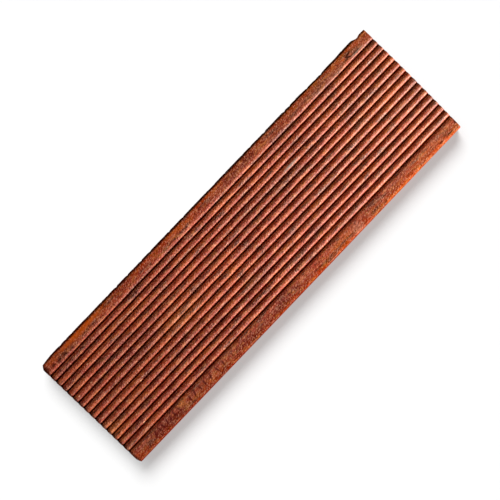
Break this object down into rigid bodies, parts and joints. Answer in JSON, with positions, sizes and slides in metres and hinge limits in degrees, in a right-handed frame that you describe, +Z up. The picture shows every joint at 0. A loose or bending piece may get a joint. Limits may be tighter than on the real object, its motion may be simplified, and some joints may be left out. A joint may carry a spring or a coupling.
{
  "type": "decking board",
  "caption": "Short sawn length of hardwood decking board: ribbed top face between two flat margins, rounded long arrises, plain underside, one torn long edge and worn corners.",
  "frame": {"origin": "centre of the flat underside, below the middle of the board's outline", "axes": "+X along the length towards the end that is sawn a little out of square, +Y across towards the torn long edge, +Z up out of the ribbed face"},
  "size_m": [0.485, 0.145, 0.025],
  "materials": {
    "hardwood": "planed and moulded reddish-brown tropical hardwood, oiled to a soft gloss"
  },
  "bodies": {
    "root": {"board": "hardwood"}
  },
  "joints": []
}
